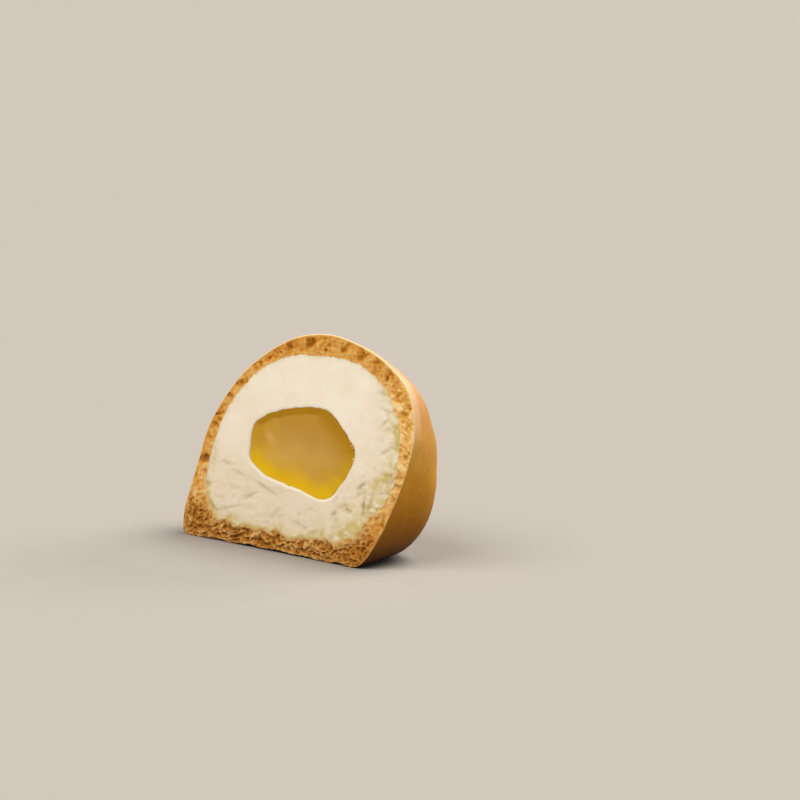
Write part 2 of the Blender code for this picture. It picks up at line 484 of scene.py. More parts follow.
def linear(colour: str) -> tuple[float, float, float, float]:
    """Turns an sRGB hex colour into the linear values that shaders take.

    Args:
        colour: Six hex digits after a hash sign.

    Returns:
        Red, green, blue and 1.
    """
    channels = [int(colour[i : i + 2], 16) / 255 for i in (1, 3, 5)]
    bent = [c / 12.92 if c <= 0.04045 else ((c + 0.055) / 1.055) ** 2.4 for c in channels]
    return (bent[0], bent[1], bent[2], 1.0)


def add_node(
    tree: Tree,
    kind: str,
    values: dict[str | int, object] | None = None,
    links: dict[str | int, Socket] | None = None,
    stops: Stops = (),
    **settings: object,
) -> bpy.types.Node:
    """Adds a node with its settings, socket values and links.

    Args:
        tree: The material's node tree.
        kind: The node's type name.
        values: Socket values by name or index.
        links: Sockets to link from, by the name or index of the input.
        stops: The (position, hex colour) stops of a colour ramp, rising.
        settings: The node's own properties.

    Returns:
        The new node.
    """
    node = tree.nodes.new(kind)
    for name, value in settings.items():
        setattr(node, name, value)
    for socket, value in (values or {}).items():
        node.inputs[socket].default_value = value
    for socket, source in (links or {}).items():
        tree.links.new(source, node.inputs[socket])
    if stops:
        # A fresh ramp has two stops: the first is kept for the first colour
        elements = node.color_ramp.elements
        elements.remove(elements[1])
        for position, colour in stops:
            stop = elements[0] if position == stops[0][0] else elements.new(position)
            stop.position, stop.color = position, linear(colour)
    return node


@dataclass(frozen=True)
class Grain:
    """Smooth noise on a surface, with lumps of the size that they have on the real one."""

    name: str
    size_mm: float
    detail: float = 2.0
    roughness: float = 0.5


@dataclass(frozen=True)
class Tint:
    """A layer of colour, even or picked by a pattern, laid in some share or under a mask."""

    colour: str = WHITE
    stops: Stops = ()
    by: str = ""
    mask: str = ""
    share: float = 1.0
    blend: Blend = Blend.STAIN


@dataclass(frozen=True)
class Finish:
    """A surface: a body colour picked by a kept value, tints over it, gloss and fine relief."""

    name: str
    roughness: float
    kept: tuple[str, ...]
    grains: tuple[Grain, ...]
    body: Stops
    body_by: str
    tints: tuple[Tint, ...]
    relief_by: str = ""
    relief: float = 0.0
    relief_mm: float = 0.0
    ior: float = 1.45
    gloss: float = 0.5
    subsurface: float = 0.0
    scatter: tuple[float, float, float] = (1.0, 1.0, 1.0)
    scatter_mm: float = 1.0
    coat: float = 0.0
    coat_roughness: float = 0.1

    def start(self) -> tuple[bpy.types.Material, Socket, Socket]:
        """Makes the material with its shader's even values.

        Returns:
            The material, and its shader's sockets for the colour and the normal.
        """
        material = bpy.data.materials.new(self.name)
        material.use_nodes = True
        sockets = material.node_tree.nodes["Principled BSDF"].inputs
        even = {
            "Roughness": self.roughness,
            "IOR": self.ior,
            "Specular IOR Level": self.gloss,
            "Subsurface Weight": self.subsurface,
            "Subsurface Radius": self.scatter,
            "Subsurface Scale": self.scatter_mm * MM,
            "Coat Weight": self.coat,
            "Coat Roughness": self.coat_roughness,
        }
        for socket, value in even.items():
            sockets[socket].default_value = value
        return material, sockets["Base Color"], sockets["Normal"]

    def patterns(self, tree: Tree) -> dict[str, Socket]:
        """Adds the values kept on the vertices and the noises.

        Args:
            tree: The material's node tree.

        Returns:
            What each gives, by name.
        """
        place = add_node(tree, "ShaderNodeTexCoord").outputs["Object"]
        read = {}
        for name in self.kept:
            read[name] = add_node(tree, "ShaderNodeAttribute", attribute_name=name).outputs["Fac"]
        for grain in self.grains:
            values = {"Detail": grain.detail, "Roughness": grain.roughness}
            values["Scale"] = 1 / (grain.size_mm * MM)
            lumps = add_node(tree, "ShaderNodeTexNoise", values, {"Vector": place})
            read[grain.name] = lumps.outputs["Fac"]
        return read

    def under(self, tree: Tree, read: dict[str, Socket]) -> Socket:
        """The body colour, which lies under the tints."""
        ramp = add_node(tree, "ShaderNodeValToRGB", links={"Fac": read[self.body_by]}, stops=self.body)
        return ramp.outputs["Color"]

    def build(self) -> bpy.types.Material:
        """Lays the tints over the body colour and adds the relief.

        Returns:
            The finished material.
        """
        material, base, normal = self.start()
        tree = material.node_tree
        read = self.patterns(tree)
        colour = self.under(tree, read)
        for tint in self.tints:
            values, links = {MIX_SHARE: tint.share, MIX_B: linear(tint.colour)}, {MIX_A: colour}
            if tint.stops:
                ramp = add_node(tree, "ShaderNodeValToRGB", links={"Fac": read[tint.by]}, stops=tint.stops)
                links[MIX_B] = ramp.outputs["Color"]
            if tint.mask:
                links[MIX_SHARE] = read[tint.mask]
            settings = {"data_type": "RGBA", "blend_type": tint.blend.value}
            colour = add_node(tree, "ShaderNodeMix", values, links, **settings).outputs[MIX_OUT]
        tree.links.new(colour, base)
        if self.relief_by:
            values = {"Strength": self.relief, "Distance": self.relief_mm * MM}
            bump = add_node(tree, "ShaderNodeBump", values, {"Height": read[self.relief_by]})
            tree.links.new(bump.outputs["Normal"], normal)
        return material


@dataclass(frozen=True)
class CrumbFinish(Finish):
    """Baked wheat dough torn by the knife: dry, pale on its high grains and brown in its pores, with
    painted light on the grains and painted shade in the pores.
    """

    name: str = "baked dough crumb"
    roughness: float = 0.8
    gloss: float = 0.25
    kept: tuple[str, ...] = ("pit", "rim", "smear", "height", "toast")
    # Flecks are about a grain of the crumb; grit is drawn at the smallest size that shows
    grains: tuple[Grain, ...] = (Grain("flecks", 1.0, 3.0, 0.6), Grain("grit", 0.16))
    # By pit: pale on raised grains, dark brown in pores and crevices; painted light and shade on the
    # relief, with random tone from the noise
    body: Stops = ((0.0, "#FFE2A8"), (0.27, "#E8B45A"), (0.6, "#B87E24"), (1.0, "#74440A"))
    body_by: str = "pit"
    tints: tuple[Tint, ...] = (
        # Redder and paler flecks of dough
        Tint(stops=((0.34, "#D89A54"), (0.6, "#FFF6E0")), by="flecks", share=0.45),
        # Darker towards the foot of the cut: partly browner dough baked against the tray, partly painted
        # shade low down
        Tint(stops=((0.0, "#B49C80"), (0.3, WHITE)), by="height", share=0.62),
        # Under the top of the dome it is toasted a deeper gold
        Tint("#E8D4A4", mask="toast"),
        Tint("#E6C482", mask="smear", blend=Blend.COVER),
        # Pale edge of the cut by the skin: partly the thin skin's own colour, partly a painted highlight
        Tint("#F4D8AA", mask="rim", blend=Blend.COVER),
    )
    relief_by: str = "grit"
    relief: float = 0.35
    relief_mm: float = 0.06


@dataclass(frozen=True)
class SkinFinish(Finish):
    """Egg-washed baked skin: golden, darker down its wall with painted shade, paler on top with a painted
    sheen, with a satin gloss and faint clouds.
    """

    name: str = "egg-washed baked skin"
    roughness: float = 0.4
    foot_roughness: float = 0.7
    gloss: float = 0.18
    kept: tuple[str, ...] = ("height", "rim")
    # Clouds where the oven browned the wash, and mottle about the size of the skin's pores
    grains: tuple[Grain, ...] = (Grain("clouds", 7.0, 4.0, 0.55), Grain("mottle", 0.9, 4.0, 0.55))
    # By height: darkening down the wall to near black at the foot, mostly painted shade and partly a
    # browner baked foot; the pale pinkish top is a painted sheen
    body: Stops = (
        (0.0, "#301A00"), (0.06, "#5A3400"), (0.18, "#965F00"), (0.32, "#C08208"),
        (0.5, "#DC9C24"), (0.71, "#E0A642"), (1.0, "#F4C084"),
    )
    body_by: str = "height"
    tints: tuple[Tint, ...] = (
        Tint(stops=((0.35, "#E2B888"), (0.6, WHITE)), by="clouds", share=0.35),
        Tint(stops=((0.35, "#D8BE9C"), (0.6, WHITE)), by="mottle", share=0.25),
        # Painted highlight: the sheen along the skin's cut edge and on its upper right shoulder
        Tint("#FFCFA4", mask="rim", blend=Blend.COVER),
    )
    relief_by: str = "mottle"
    relief: float = 0.35
    relief_mm: float = 0.05

    def patterns(self, tree: Tree) -> dict[str, Socket]:
        """Adds the patterns, and dulls the foot, where the wash pools less.

        Args:
            tree: The material's node tree.

        Returns:
            What each gives, by name.
        """
        read = super().patterns(tree)
        span = {"From Min": 0.15, "From Max": 0.8, "To Min": self.foot_roughness, "To Max": self.roughness}
        dull = add_node(tree, "ShaderNodeMapRange", span, {"Value": read["height"]})
        tree.links.new(dull.outputs["Result"], tree.nodes["Principled BSDF"].inputs["Roughness"])
        return read


@dataclass(frozen=True)
class PasteFinish(Finish):
    """White bean paste cut with a knife: matt cream, faintly grainy, stained by the crust."""

    name: str = "white bean paste"
    roughness: float = 0.6
    gloss: float = 0.35
    subsurface: float = 0.2
    scatter: tuple[float, float, float] = (1.0, 0.75, 0.45)
    scatter_mm: float = 0.8
    kept: tuple[str, ...] = ("low", "stain", "mark", "lip")
    grains: tuple[Grain, ...] = (Grain("clouds", 6.0, 4.0, 0.6), Grain("grain", 0.35))
    # Darker towards the bottom: painted shade as the light falls off down the cut
    body: Stops = ((0.0, "#F9EEDC"), (1.0, "#EBDCC2"))
    body_by: str = "low"
    tints: tuple[Tint, ...] = (
        Tint(stops=((0.35, "#EFE6D4"), (0.6, WHITE)), by="clouds", share=0.35),
        Tint("#D2BC76", mask="stain", blend=Blend.COVER),
        # Painted shade in the knife's dents and tears
        Tint("#A8925C", mask="mark", blend=Blend.COVER),
        # Painted highlight: the paste's lip round the chestnut is brightened, most along its lower side,
        # where it faces up into the light
        Tint("#FFF6E2", mask="lip", blend=Blend.COVER),
    )
    relief_by: str = "grain"
    relief: float = 0.25
    relief_mm: float = 0.04


@dataclass(frozen=True)
class NutFinish(Finish):
    """Chestnut candied in syrup: clear amber at its rim, pale and cloudy in its heart, that pale partly its
    own tone and partly a painted reflection, with a wet gloss.
    """

    name: str = "candied chestnut"
    roughness: float = 0.3
    gloss: float = 0.25
    subsurface: float = 0.1
    scatter: tuple[float, float, float] = (1.0, 0.6, 0.12)
    scatter_mm: float = 1.2
    coat: float = 0.12
    coat_roughness: float = 0.2
    kept: tuple[str, ...] = ("clear", "syrup", "shade", "painted_glint", "glow")
    grains: tuple[Grain, ...] = (Grain("clouds", 5.0, 3.0),)
    # Heart by glow: lighter towards the bottom left, where light shining through is painted, darker near
    # the top as painted shade
    body: Stops = ((0.0, "#C69948"), (1.0, "#D9AD4D"))
    body_by: str = "glow"
    tints: tuple[Tint, ...] = (
        Tint(stops=((0.3, "#E8D6B8"), (0.7, WHITE)), by="clouds", share=0.4),
        # Painted glint: a pale streak near the left end of the face
        Tint("#DCAE66", mask="painted_glint", blend=Blend.COVER),
    )
    # Colours of the clear rim: amber its own, bright partly painted light shining through, dark painted
    # shade under the paste's lip
    amber: str = "#C0940C"
    bright: str = "#ECBE00"
    dark: str = "#AE7E08"

    def under(self, tree: Tree, read: dict[str, Socket]) -> Socket:
        """The cloudy heart, with the clear amber where the syrup has soaked it: bright yellow partly
        painted light along its lower edge, dark as painted shade under the paste's lip.

        Args:
            tree: The material's node tree.
            read: The patterns by name.

        Returns:
            The colour under the tints.
        """
        mix = {"kind": "ShaderNodeMix", "data_type": "RGBA"}
        heart = super().under(tree, read)
        ends = {MIX_A: linear(self.amber), MIX_B: linear(self.bright)}
        clear = add_node(tree, values=ends, links={MIX_SHARE: read["syrup"]}, **mix)
        links = {MIX_SHARE: read["shade"], MIX_A: clear.outputs[MIX_OUT]}
        edge = add_node(tree, values={MIX_B: linear(self.dark)}, links=links, **mix)
        links = {MIX_SHARE: read["clear"], MIX_A: heart, MIX_B: edge.outputs[MIX_OUT]}
        return add_node(tree, links=links, **mix).outputs[MIX_OUT]


def outward(places: Array) -> Array:
    """Reads the way out from the bun's axis, one direction of length 1 for each place."""
    away = (places - AXIS) * np.array((1.0, 0.6, 1.0))
    return away / np.linalg.norm(away, axis=1)[:, None]


def nut_edge(clock: Array) -> Array:
    """Reads what is added to the radius of the chestnut's rim, which wanders in and out."""
    ring = ring_at(clock, NUT_RADIUS)
    return keyed(NUT_RIM, clock) + 0.14 * noise_at(ring, 1.7, 71.0) + 0.08 * noise_at(ring, 0.7, 73.0)


def lip_depth(clock: Array) -> Array:
    """Reads how far the paste turns in at the chestnut's rim, furthest along its lower side."""
    return 0.12 + 0.26 * smooth(-np.cos(np.radians(clock - 75)), -0.1, 0.7)


def ragged_edge(clock: Array) -> Array:
    """Reads how far the paste's edge wanders in or out where it meets the crumb.

    Args:
        clock: Clock angles in degrees.

    Returns:
        What is added to the radius, in millimetres.
    """
    ring = ring_at(clock, PASTE_RADIUS)
    low = smooth(-np.sin(np.radians(clock)), 0.3, 0.8)
    wander = (0.3 + 0.75 * low) * noise_at(ring, 2.6, 2.0) + (0.2 + 0.2 * low) * noise_at(ring, 1.0, 4.0)
    return wander + 0.1 * noise_at(ring, 0.4, 6.0)


@dataclass(frozen=True)
class Crust:
    """Baked shell: a satin skin outside, a torn porous crumb on the cut, hollow for the paste."""

    outside: Form = Form(BUN_OUTLINE, 25.7, wave=0.16, foot_turn=2.4)
    hollow: Form = HOLLOW
    globe: Globe = Globe(around=960, inside=6, cut=40, outside=52, crowd=1.5)
    pore_cell: float = 1.9
    pore_radius: float = 0.9
    fine_cell: float = 1.0
    fine_radius: float = 0.5
    granule: float = 1.1
    foot_height: float = 38.0
    lift: float = 0.7
    edge: float = 0.3
    pore_spread: float = 1.25
    grain_spread: float = 1.35
    small_pores: tuple[Strewn, ...] = (
        Strewn(30, (-40, 212), (0.3, 0.8), (0.4, 0.95), (0.26, 0.42), (0.5, 0.9), 3),
        Strewn(14, (212, 306), (0.3, 0.85), (0.5, 0.95), (0.28, 0.45), (0.6, 0.95), 5),
    )
    raised_grains: tuple[Strewn, ...] = (
        Strewn(38, (205, 306), (0.3, 0.95), (0.55, 1.0), (0.26, 0.46), (0.4, 0.9), 7),
        Strewn(12, (-52, 15), (0.1, 0.6), (0.35, 0.95), (0.28, 0.38), (0.4, 0.9), 9),
    )

    def crumb(self, points: Array, share: Array, clock: Array) -> tuple[Array, Array]:
        """Shapes the torn crumb.

        Args:
            points: Places on the flat cut.
            share: Their share of the way from the paste to the skin.
            clock: Their clock angles in degrees.

        Returns:
            How far each place is sunk, in millimetres, and how deep in a pit it is, from 0 to 1.
        """
        flat = points * FLAT
        bent = warped(warped(flat, 0.6, 1.6, 11.0), 0.2, 0.5, 17.0)
        low = smooth(points[:, 2] + 2.5 * noise_at(flat, 3.0, 13.0), 13.0, 3.0)
        side = window(clock, 8, 30, 24) * (1 - low)
        pores = pores_at(bent, self.pore_cell, self.pore_radius, 3.0)
        pores = np.maximum(pores, 0.8 * pores_at(bent, self.fine_cell, self.fine_radius, 5.0))
        shaken = warped(flat, 0.25, 0.5, 17.0)
        small = strew(self.small_pores, self.hollow, self.outside)
        grains = strew(self.raised_grains, self.hollow, self.outside)
        large = placed(shaken, PORES + small, self.pore_spread)
        raised = placed(shaken, grains, self.grain_spread).clip(0, 1)
        # Crumbly granules with crevices between them, and strands where noise crosses zero
        granules = 1 - sponge_at(bent, self.granule, 0.6, 19.0)
        coarse = np.abs(noise_at(bent, 1.05, 7.0))
        torn = smooth(1.6 * coarse + 0.7 * np.abs(noise_at(bent, 0.5, 9.0)), 0.02, 0.85)
        torn = np.maximum(0.55 * granules, torn) * (0.8 + 0.2 * noise_at(flat, 1.3, 15.0))
        holes = np.maximum(0.45 * pores * (1 - 0.5 * side), 0.3 * side * self.strands(flat, clock))
        holes = holes * (1 - low) + np.maximum(torn, 0.4 * pores) * low
        left = window(clock, 182, 26, 22) * (1 - low)
        holes = np.maximum(holes, large.clip(0, 1) * (0.62 + 0.33 * low + 0.2 * left))
        rough = noise_at(flat, 0.6, 6.0) + 0.3 * (1 - low) * noise_at(flat, 0.3, 8.0)
        lumps = noise_at(flat, 1.8, 9.0)
        skin = 0.1 + 0.4 * low + (0.9 - 0.4 * low) * smooth(1 - share, 0.0, 0.2)
        level = smooth(share, 0.0, 0.13) * (1 - low) + smooth(share, 0.0, 0.35) * low
        depth = 0.05 + (0.75 + 0.4 * low) * holes + 0.09 * rough
        depth = (depth + (0.16 + 0.06 * low) * lumps - 0.4 * raised) * skin * level
        # The pit value sets the crumb's colour: painted shade in pores and crevices, painted light on
        # raised grains, random tone from the noise
        pit = 0.8 * holes + (0.25 - 0.1 * low) * rough + (0.2 - 0.12 * low) * lumps + 0.22 - 0.2 * low
        pit -= 0.14 * (1 - low) * (1 - share) + 0.22 * raised
        pit *= 1 - 0.5 * low * (1 - level)
        return np.maximum(depth, -0.25), np.clip(pit, 0, 1) * (0.2 + 0.8 * skin)

    def strands(self, flat: Array, clock: Array) -> Array:
        """Shapes slits that cross the crumb aslant, as the knife pulls it.

        Args:
            flat: Places on the cut.
            clock: Their clock angles in degrees.

        Returns:
            How deep in a slit each place is, from 0 to 1.
        """
        out = np.hypot(flat[:, 0], flat[:, 2] - self.outside.centre[1])
        along = np.radians(np.mod(clock + 180, 360)) * PASTE_RADIUS + 0.9 * out
        along += 0.4 * noise_at(flat, 1.5, 87.0)
        slanted = np.stack([along, 0 * out, out], 1)
        wave = noise_at(slanted, (0.62, 1.0, 2.4), 81.0) + 0.5 * noise_at(slanted, (0.3, 1.0, 1.2), 83.0)
        return smooth(wave + 0.3 * noise_at(flat, 1.4, 85.0), 0.0, 0.75)

    def dimples(self, places: Array, skin: Array) -> Array:
        """Shapes the soft dents that a baked skin has.

        Args:
            places: Places on the crust.
            skin: Whether each is on the skin.

        Returns:
            How far each is pushed out, in millimetres.
        """
        soft = 0.16 * noise_at(places, 5.0, 61.0) + 0.07 * noise_at(places, 2.2, 63.0)
        behind = self.outside.behind(places)
        reach = smooth(behind, 0.0, 2.5) * smooth(places[:, 2], 0.3, 2.5)
        return np.where(skin, soft * reach, 0.0)

    def lifted(self, places: Array) -> Array:
        """Raises the front of the foot a little off what it stands on, unevenly.

        Args:
            places: Places on the crust.

        Returns:
            What is added to their heights.
        """
        across = places * np.array((1.0, 0.0, 0.0))
        uneven = 0.45 + 0.7 * noise_at(across, 5.0, 31.0) + 0.4 * noise_at(across, 1.4, 33.0)
        uneven += 0.25 * noise_at(across, 0.6, 35.0)
        behind = self.outside.behind(places)
        reach = smooth(behind, 5.0, 0.0) * smooth(places[:, 2], 2.5, 0.0)
        middle = smooth(np.abs(places[:, 0]), 22.0, 12.0)
        return self.lift * np.maximum(uneven, 0) * reach * middle

    def build(self, shift: Array) -> Object:
        """Builds the crust.

        Args:
            shift: What brings the forms into the frame, in millimetres.

        Returns:
            The dressed piece.
        """
        mesh = self.globe.mesh()
        clock, share, inside, cut, skin = self.globe.places(mesh)
        places = np.zeros((len(clock), 3))
        pit = np.zeros(len(clock))
        ragged = ragged_edge(clock)
        fade = np.clip(1 - 4 * share[inside], 0, 1)
        places[inside] = self.hollow.points(clock[inside], share[inside], ragged[inside] * fade)
        near, far = self.hollow.rim(clock[cut], ragged[cut]), self.outside.rim(clock[cut])
        across, from_paste, from_skin = between(near, far, share[cut])
        sunk, pit[cut] = self.crumb(across, share[cut], clock[cut])
        turned = self.edge - np.sqrt(self.edge**2 - (self.edge - from_skin).clip(0) ** 2)
        across[:, 1] += sunk + turned
        places[cut] = across
        places[skin] = self.outside.points(clock[skin], share[skin])
        behind = self.outside.behind(places[skin])
        places[skin, 1] += self.edge * np.exp(-behind / (2 * self.edge))
        places += self.dimples(places, skin)[:, None] * FLAT * outward(places)
        places[:, 2] += self.lifted(places)
        up = places[:, 2]
        rim, smear = np.zeros(len(clock)), np.zeros(len(clock))
        # Painted highlight along the cut edge: on the crumb partly the pale cut of the thin skin, on the
        # skin a painted sheen just behind the edge
        rim[cut] = smooth(from_skin, 0.32, 0.05)
        rim[skin] = smooth(behind, 0.6, 0.1)
        # The painted highlight is strongest high up, fades low down and is left out low on the right
        right = smooth(places[:, 0], 4.0, 14.0)
        rim *= (0.1 + 0.75 * smooth(up, 8.0, 32.0)) * (1 - right * smooth(up, 32.0, 24.0))
        # Painted highlight on the skin's upper right shoulder
        painted_shoulder_highlight = window(clock[skin], 42, 14, 22) * smooth(np.abs(behind - 1.3), 2.6, 0.4)
        rim[skin] = np.maximum(rim[skin], 0.6 * painted_shoulder_highlight)
        # Paste that the knife smeared onto the crumb, most of it low down
        reach = 1.3 + 1.2 * right[cut] * smooth(across[:, 2], 30.0, 16.0)
        smear[cut] = smooth(from_paste + 0.7 * noise_at(across, 0.8, 91.0), reach, 0.1)
        smear *= 0.8 * smooth(up, 24.0 + 8.0 * right, 8.0 + 10.0 * right)
        smear[cut] *= 0.62 + 0.7 * noise_at(across, 0.9, 93.0)
        toast = window(clock, 130, 66, 30) * (1 - 0.45 * smooth(up, 22.0, 10.0))
        toast = np.maximum(toast, 0.7 * window(clock, 325, 14, 16))
        # Height sets the skin's painted shade down its wall and painted sheen on top, and darkens the crumb
        # towards the foot
        height = np.clip(up / self.foot_height, 0, 1)
        marks = {"pit": pit, "height": height, "rim": rim, "smear": smear.clip(0), "toast": toast}
        marks["skin"] = skin.astype(float)
        piece = write_piece(mesh, "bun_crust", places, shift, marks)
        self.dress(piece)
        return piece

    def dress(self, piece: Object) -> None:
        """Gives the skin and the crumb their finishes.

        Args:
            piece: The crust.
        """
        skin = np.zeros(len(piece.data.vertices), np.float32)
        piece.data.attributes["skin"].data.foreach_get("value", skin)
        piece.data.materials.append(CrumbFinish().build())
        piece.data.materials.append(SkinFinish().build())
        for face in piece.data.polygons:
            if max(skin[v] for v in face.vertices) > 0.5:
                face.material_index = 1
        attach(piece, BODY)
        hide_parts("crust")


@dataclass(frozen=True)
class Paste:
    """White bean paste that fills the crust and holds the chestnut in a socket."""

    outside: Form = HOLLOW
    socket: Form = SOCKET
    globe: Globe = Globe(around=800, inside=14, cut=84, outside=14, crowd=1.3)
    pit: float = 0.42
    lip_reach: float = 0.5
    tear_spread: float = 1.2
    stain_spread: float = 1.1
    tears: tuple[Strewn, ...] = (
        Strewn(16, (190, 345), (0.3, 0.9), (0.6, 1.5), (0.3, 0.42), (0.12, 0.34), 13),
        Strewn(10, (-20, 42), (0.7, 0.95), (0.7, 1.2), (0.32, 0.4), (0.25, 0.45), 15),
    )

    def knife_marks(self, points: Array, from_nut: Array, from_crust: Array) -> Array:
        """Shapes the drag marks, small tears and grain that the knife leaves.

        Args:
            points: Places on the flat cut.
            from_nut: Their distance from the chestnut.
            from_crust: Their distance from the crust.

        Returns:
            How deep the marks are, from 0 to about 1.
        """
        flat = points * FLAT
        bent = warped(flat, 0.9, 2.6, 23.0)
        rough = self.roughness(points, from_crust)
        right = smooth(points[:, 0], 2.0, 12.0)
        drag = noise_at(bent, (5.0, 1.0, 2.2), 1.3)
        tear = np.maximum(0, noise_at(bent, (1.6, 1.0, 1.1), 4.9) - 0.3)
        speck = np.maximum(0, noise_at(flat, (0.6, 1.0, 1.1), 8.7) - 0.3) * right
        marks = 0.16 * drag + 0.5 * tear + 0.8 * speck + 0.06 * noise_at(flat, 0.4, 3.3)
        marks += 0.22 * right * noise_at(bent, 1.5, 9.7) + 0.06 * noise_at(bent, (1.6, 1.0, 1.1), 2.9)
        small = strew(self.tears, self.socket, self.outside)
        marks = rough * marks + placed(warped(flat, 0.4, 1.1, 27.0), TEARS + small, self.tear_spread)
        return marks * np.minimum(1, from_nut / 1.2) * smooth(from_crust, 0.0, 0.35)

    def roughness(self, points: Array, from_crust: Array) -> Array:
        """Reads how rough the cut is: smooth above, torn below and beside the crust.

        Args:
            points: Places on the flat cut.
            from_crust: Their distance from the crust.

        Returns:
            The roughness, from 0 to 1.
        """
        low = smooth(points[:, 2] - 0.12 * points[:, 0], 24.0, 10.0)
        side = smooth(from_crust, 3.0, 0.3) * smooth(points[:, 2], 40.0, 26.0)
        return np.clip(0.06 + 0.75 * low + 0.5 * side, 0, 1)

    def build(self, shift: Array) -> Object:
        """Builds the paste.

        Args:
            shift: What brings the forms into the frame, in millimetres.

        Returns:
            The dressed piece.
        """
        mesh = self.globe.mesh()
        clock, share, inside, cut, wall = self.globe.places(mesh)
        places = np.zeros((len(clock), 3))
        ragged = ragged_edge(clock)
        places[inside] = self.socket.points(clock[inside], share[inside])
        near = self.socket.rim(clock[cut], nut_edge(clock[cut]))
        far = self.outside.rim(clock[cut], ragged[cut])
        across, from_nut, from_crust = between(near, far, share[cut])
        marks = self.knife_marks(across, from_nut, from_crust)
        kept = {name: np.zeros(len(clock)) for name in ("stain", "mark", "lip")}
        kept["stain"][cut] = self.stains(across, from_crust)
        lip = (1 - from_nut / self.lip_reach).clip(0)
        across[:, 1] += self.pit * marks + lip_depth(clock[cut]) * lip
        places[cut] = across
        fade = np.clip(1 - 4 * share[wall], 0, 1)
        places[wall] = self.outside.points(clock[wall], share[wall], ragged[wall] * fade)
        # The marks also darken the paste: painted shade in the dents
        kept["mark"][cut] = np.clip(0.95 * marks, 0, 1)
        # Painted highlight on the lip round the chestnut, along its lower side
        painted_lip_highlight = smooth(from_nut, 1.5 * self.lip_reach, 0.3 * self.lip_reach)
        kept["lip"][cut] = 0.85 * painted_lip_highlight * smooth(lip_depth(clock[cut]), 0.2, 0.44)
        # Painted shade: the paste darkens towards the bottom
        kept["low"] = smooth(places[:, 2], 34.0, 4.0)
        piece = write_piece(mesh, "bun_paste", places, shift, kept)
        piece.data.materials.append(PasteFinish().build())
        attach(piece, BODY)
        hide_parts("paste")
        return piece

    def stains(self, points: Array, from_crust: Array) -> Array:
        """Reads where the crust has stained the paste, widest low on the right.

        Args:
            points: Places on the flat cut.
            from_crust: Their distance from the crust.

        Returns:
            The stain, from 0 to 1.
        """
        flat = points * FLAT
        right = smooth(points[:, 0], 2.0, 14.0) * smooth(points[:, 2], 40.0, 28.0)
        low = smooth(points[:, 2], 12.0, 6.0)
        width = 0.5 + 1.8 * right + 0.5 * low
        uneven = 0.6 + 0.9 * noise_at(flat, 1.1, 41.0) + 0.5 * noise_at(flat, 0.45, 43.0)
        edge = np.exp(-from_crust / width) * uneven * (0.5 + 0.7 * np.maximum(right, low))
        patches = placed(warped(flat, 0.5, 1.2, 45.0), STAINS, self.stain_spread)
        return np.clip(edge + patches * (0.85 + 0.5 * uneven), 0, 1)


